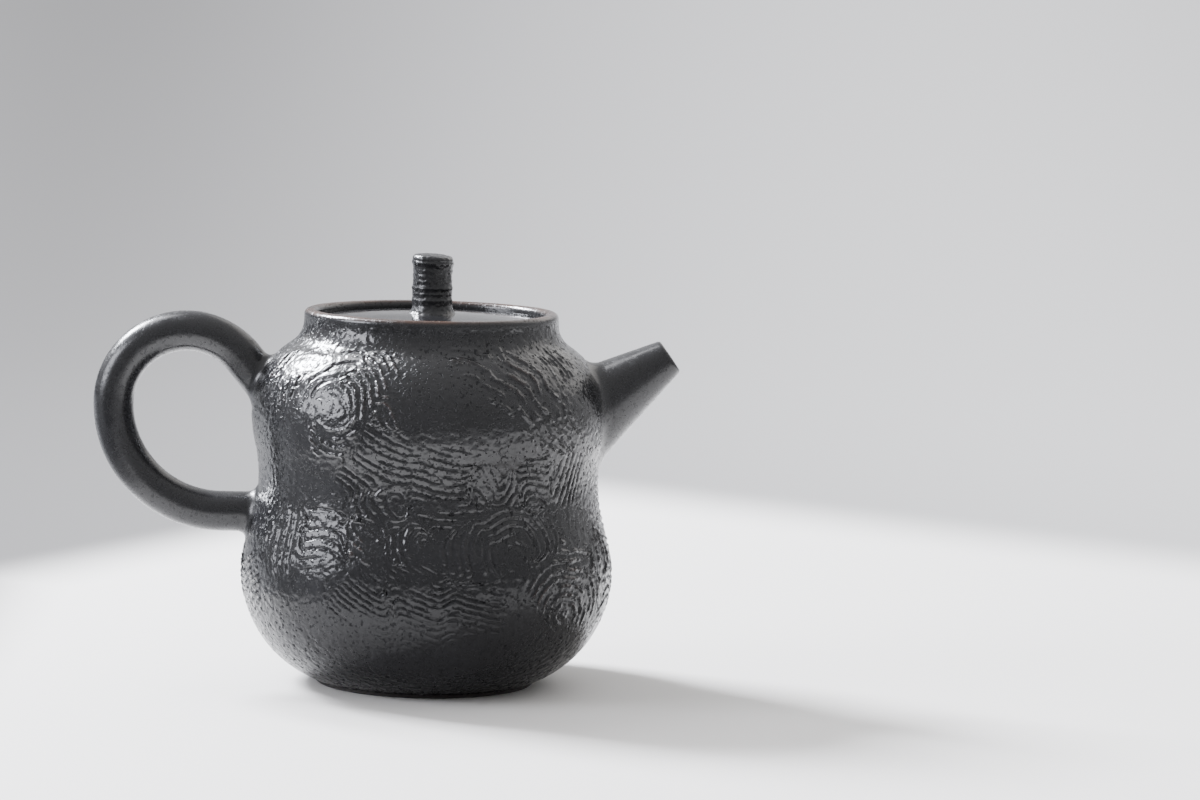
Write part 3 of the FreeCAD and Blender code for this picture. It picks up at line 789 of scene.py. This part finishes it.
def makeHandle():
    curve = profileCurve("handleBar", earPath())
    modifier = curve.modifiers.new("pulled", "NODES")
    modifier.node_group = makeBarTree()
    setInputs(modifier, {
        "Radius": ear["radius"] * mm, "Sides": ear["sides"], "Steps": ear["steps"],
        "Swell size": ear["swellSize"], "Swell share": ear["swellShare"], "Finish": smoothGlaze})
    settle(finished(curve, "handleBar"), "pot", "black_glaze", "handle")


makeHandle()
print("handle made")

# Luting seams: clay smoothed into the corner between a limb and the wall

seamSet = {
    "around": 128, "across": 14, "sink": 0.04, "slopeStep": 0.05,
    "uneven": 0.16, "waves": ((3, 1), (5, 4)),  # share of the width; count and start of each wave round a seam
}


def bodyNormal(point):
    step = seamSet["slopeStep"]
    slope = (bodyRadius(point.z + step) - bodyRadius(point.z - step)) / (2 * step)
    flat = Vector((point.x, point.y, 0)).normalized()
    return (flat - Vector((0, 0, slope))).normalized()


def makeSeam(name, node, start, axis, radius, taper, width):
    sideways = Vector((0, 1, 0))
    upward = axis.cross(sideways)
    around, across = seamSet["around"], seamSet["across"]
    points, faces, row = [], [], across + 1
    for i in range(around):
        angle = math.tau * i / around
        out = sideways * math.cos(angle) + upward * math.sin(angle)
        leaves = leavesWall(start, axis, out, radius, taper)
        corner = start + axis * leaves + out * (radius - taper * leaves)
        normal = bodyNormal(corner)
        limbWay = (axis - out * taper).normalized()
        wallWay = (out - normal * out.dot(normal)).normalized()
        wave = sum(math.sin(count * angle + first) for count, first in seamSet["waves"])
        reach = width * (1 + seamSet["uneven"] * wave / 2)
        first = corner + limbWay * reach
        last = corner + wallWay * reach
        last.xy = last.xy.normalized() * (bodyRadius(last.z) - seamSet["sink"])
        for j in range(row):
            t = j / across
            points.append((first * (1 - t) ** 2 + corner * 2 * t * (1 - t) + last * t ** 2) * mm)
        for j in range(across):
            a, b = i * row + j, (i + 1) % around * row + j
            faces.append((a, a + 1, b + 1, b))
    mesh = bpy.data.meshes.new(name)
    mesh.from_pydata(points, [], faces)
    mesh.materials.append(smoothGlaze)
    settle(meshObject(mesh, name), "pot", "black_glaze", node)


path = [Vector((x, 0, z)) for x, z in earPath()]
lowWay, highWay = Vector((-1, 0, 0)), (path[-2] - path[-1]).normalized()
makeSeam("spoutSeam", "spout_seam_coil", spoutSeat, spoutAxis, spout["rootRadius"], spoutTaper, spout["seam"])
makeSeam("handleLowerSeam", "handle_lower_seam_coil", path[1], lowWay, ear["radius"], 0.0, ear["seam"])
makeSeam("handleUpperSeam", "handle_upper_seam_coil", path[-2], highWay, ear["radius"], 0.0, ear["seam"])
print("seams smoothed")

# The strainer dome and the ring under the lid keep their own shape, in bare clay

for name in ("spout_strainer", "lid_flange"):
    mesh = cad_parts[name].data
    mesh.materials.clear()
    mesh.materials.append(bareClay)

# Pale floor that curves up into a backdrop, and soft light from a window on the left

stage = {
    "floor": "#dedcd9", "paperShadeFarLeft": "#2b2b2b", "paperShadedLeft": "#4b4a49", "paperLitRight": "#a09f9e", "roughness": 0.6,
    "paperShadeFrom": (-0.2, 0.35), "farLeftShadeFrom": (-0.2, -0.11), "farLeftShadeSlant": 0.1,  # where the paper's painted shade and light meet
    # the pale table, set corner on, gives way to grey paper: the way to each edge, and between which distances
    "tableEdges": [
        ((-0.863, 0.504), 0.14, 0.19), ((0.632, 0.775), 0.26, 0.34),
        ((0.0, -1.0), 0.17, 0.25), ((-1.0, 0.0), 0.09, 0.13),
    ],
    "near": -1.3, "bendFrom": 0.65, "bend": 1.2, "sweep": 50.0, "bendSteps": 32, "left": -2.4, "right": 1.4,
}


def makeStage():
    line, bend, steps = [(stage["near"], 0.0), (stage["bendFrom"], 0.0)], stage["bend"], stage["bendSteps"]
    for i in range(1, steps + 1):
        angle = math.radians(stage["sweep"] * i / steps)
        line.append((stage["bendFrom"] + bend * math.sin(angle), bend * (1 - math.cos(angle))))
    points = [(x, y, z) for y, z in line for x in (stage["left"], stage["right"])]
    faces = [(2 * i, 2 * i + 1, 2 * i + 3, 2 * i + 2) for i in range(len(line) - 1)]
    mesh = bpy.data.meshes.new("paleFloor")
    mesh.from_pydata(points, [], faces)
    material = bpy.data.materials.new("paleFloor")
    material.use_nodes = True
    tree = material.node_tree
    spot = addNode(tree, "ShaderNodeTexCoord").outputs["Object"]
    place = addNode(tree, "ShaderNodeSeparateXYZ", {}, {0: spot}).outputs
    grey = 0.0
    for (wayX, wayY), pale, paper in stage["tableEdges"]:
        away = addNode(tree, "ShaderNodeVectorMath", along, {0: spot, 1: (wayX, wayY, 0.0)}).outputs["Value"]
        past = addNode(tree, "ShaderNodeMapRange", eased, {"Value": away, "From Min": pale, "From Max": paper})
        grey = addNode(tree, "ShaderNodeMath", largest, {0: past, 1: grey})
    # painted light and shade on the paper: darker on the left, lighter on the right, and near black far to the left
    low, high = stage["paperShadeFrom"]
    across = addNode(tree, "ShaderNodeMapRange", eased, {"Value": place["X"], "From Min": low, "From Max": high})
    wall = addNode(tree, "ShaderNodeMix", inColour, {
        "Factor": across, "A": linear(stage["paperShadedLeft"]), "B": linear(stage["paperLitRight"])})
    across = addNode(tree, "ShaderNodeMath", timesPlus, {0: place["Y"], 1: stage["farLeftShadeSlant"], 2: place["X"]})
    low, high = stage["farLeftShadeFrom"]
    across = addNode(tree, "ShaderNodeMapRange", eased, {"Value": across, "From Min": low, "From Max": high})
    wall = addNode(tree, "ShaderNodeMix", inColour, {
        "Factor": across, "A": linear(stage["paperShadeFarLeft"]), "B": wall.outputs[2]})
    colour = addNode(tree, "ShaderNodeMix", inColour, {
        "Factor": grey, "A": linear(stage["floor"]), "B": wall.outputs[2]})
    shader = tree.nodes["Principled BSDF"]
    tree.links.new(colour.outputs[2], shader.inputs["Base Color"])
    shader.inputs["Roughness"].default_value = stage["roughness"]
    mesh.materials.append(material)
    meshObject(mesh, "paleFloor")


lights = {
    # place, width, height, radiance, tint
    "windowFar": ((-0.93, 0.72, 1.0), 0.42, 0.46, 260.0, "#f4f7ff"),
    "windowHigh": ((-0.58, 0.45, 1.36), 0.5, 0.5, 9.0, "#fbfbff"),
    "windowNear": ((-1.62, -0.46, 0.66), 0.86, 0.86, 14.0, "#f4f6ff"),
    "roomRight": ((0.8, 0.85, 0.95), 1.3, 0.9, 1.1, "#fffaf4"),
}
lightAim = Vector((0, 0, 0.06))
# the room is brighter overhead and behind the pot than in front of it
room = {"front": "#b4b4b6", "back": "#f0f0f2", "brightSide": (0.15, 0.5, 0.8), "from": (-0.5, 0.9), "strength": 1.25}


def makeLights():
    for name, (place, width, height, radiance, tint) in lights.items():
        data = bpy.data.lights.new(name, "AREA")
        data.shape = "RECTANGLE"
        data.size, data.size_y = width, height
        data.energy = radiance * math.pi * width * height
        data.color = linear(tint)[:3]
        light = bpy.data.objects.new(name, data)
        light.location = place
        light.rotation_euler = (lightAim - Vector(place)).to_track_quat("-Z", "Y").to_euler()
        scene.collection.objects.link(light)
    world = bpy.data.worlds.new("softRoom")
    world.use_nodes = True
    tree = world.node_tree
    way = addNode(tree, "ShaderNodeTexCoord").outputs["Generated"]
    bright = addNode(tree, "ShaderNodeVectorMath", along, {0: way, 1: room["brightSide"]}).outputs["Value"]
    low, high = room["from"]
    share = addNode(tree, "ShaderNodeMapRange", eased, {"Value": bright, "From Min": low, "From Max": high})
    colour = addNode(tree, "ShaderNodeMix", inColour, {
        "Factor": share, "A": linear(room["front"]), "B": linear(room["back"])})
    tree.links.new(colour.outputs[2], tree.nodes["Background"].inputs["Color"])
    tree.nodes["Background"].inputs["Strength"].default_value = room["strength"]
    scene.world = world


makeStage()
makeLights()
print("stage and light set")
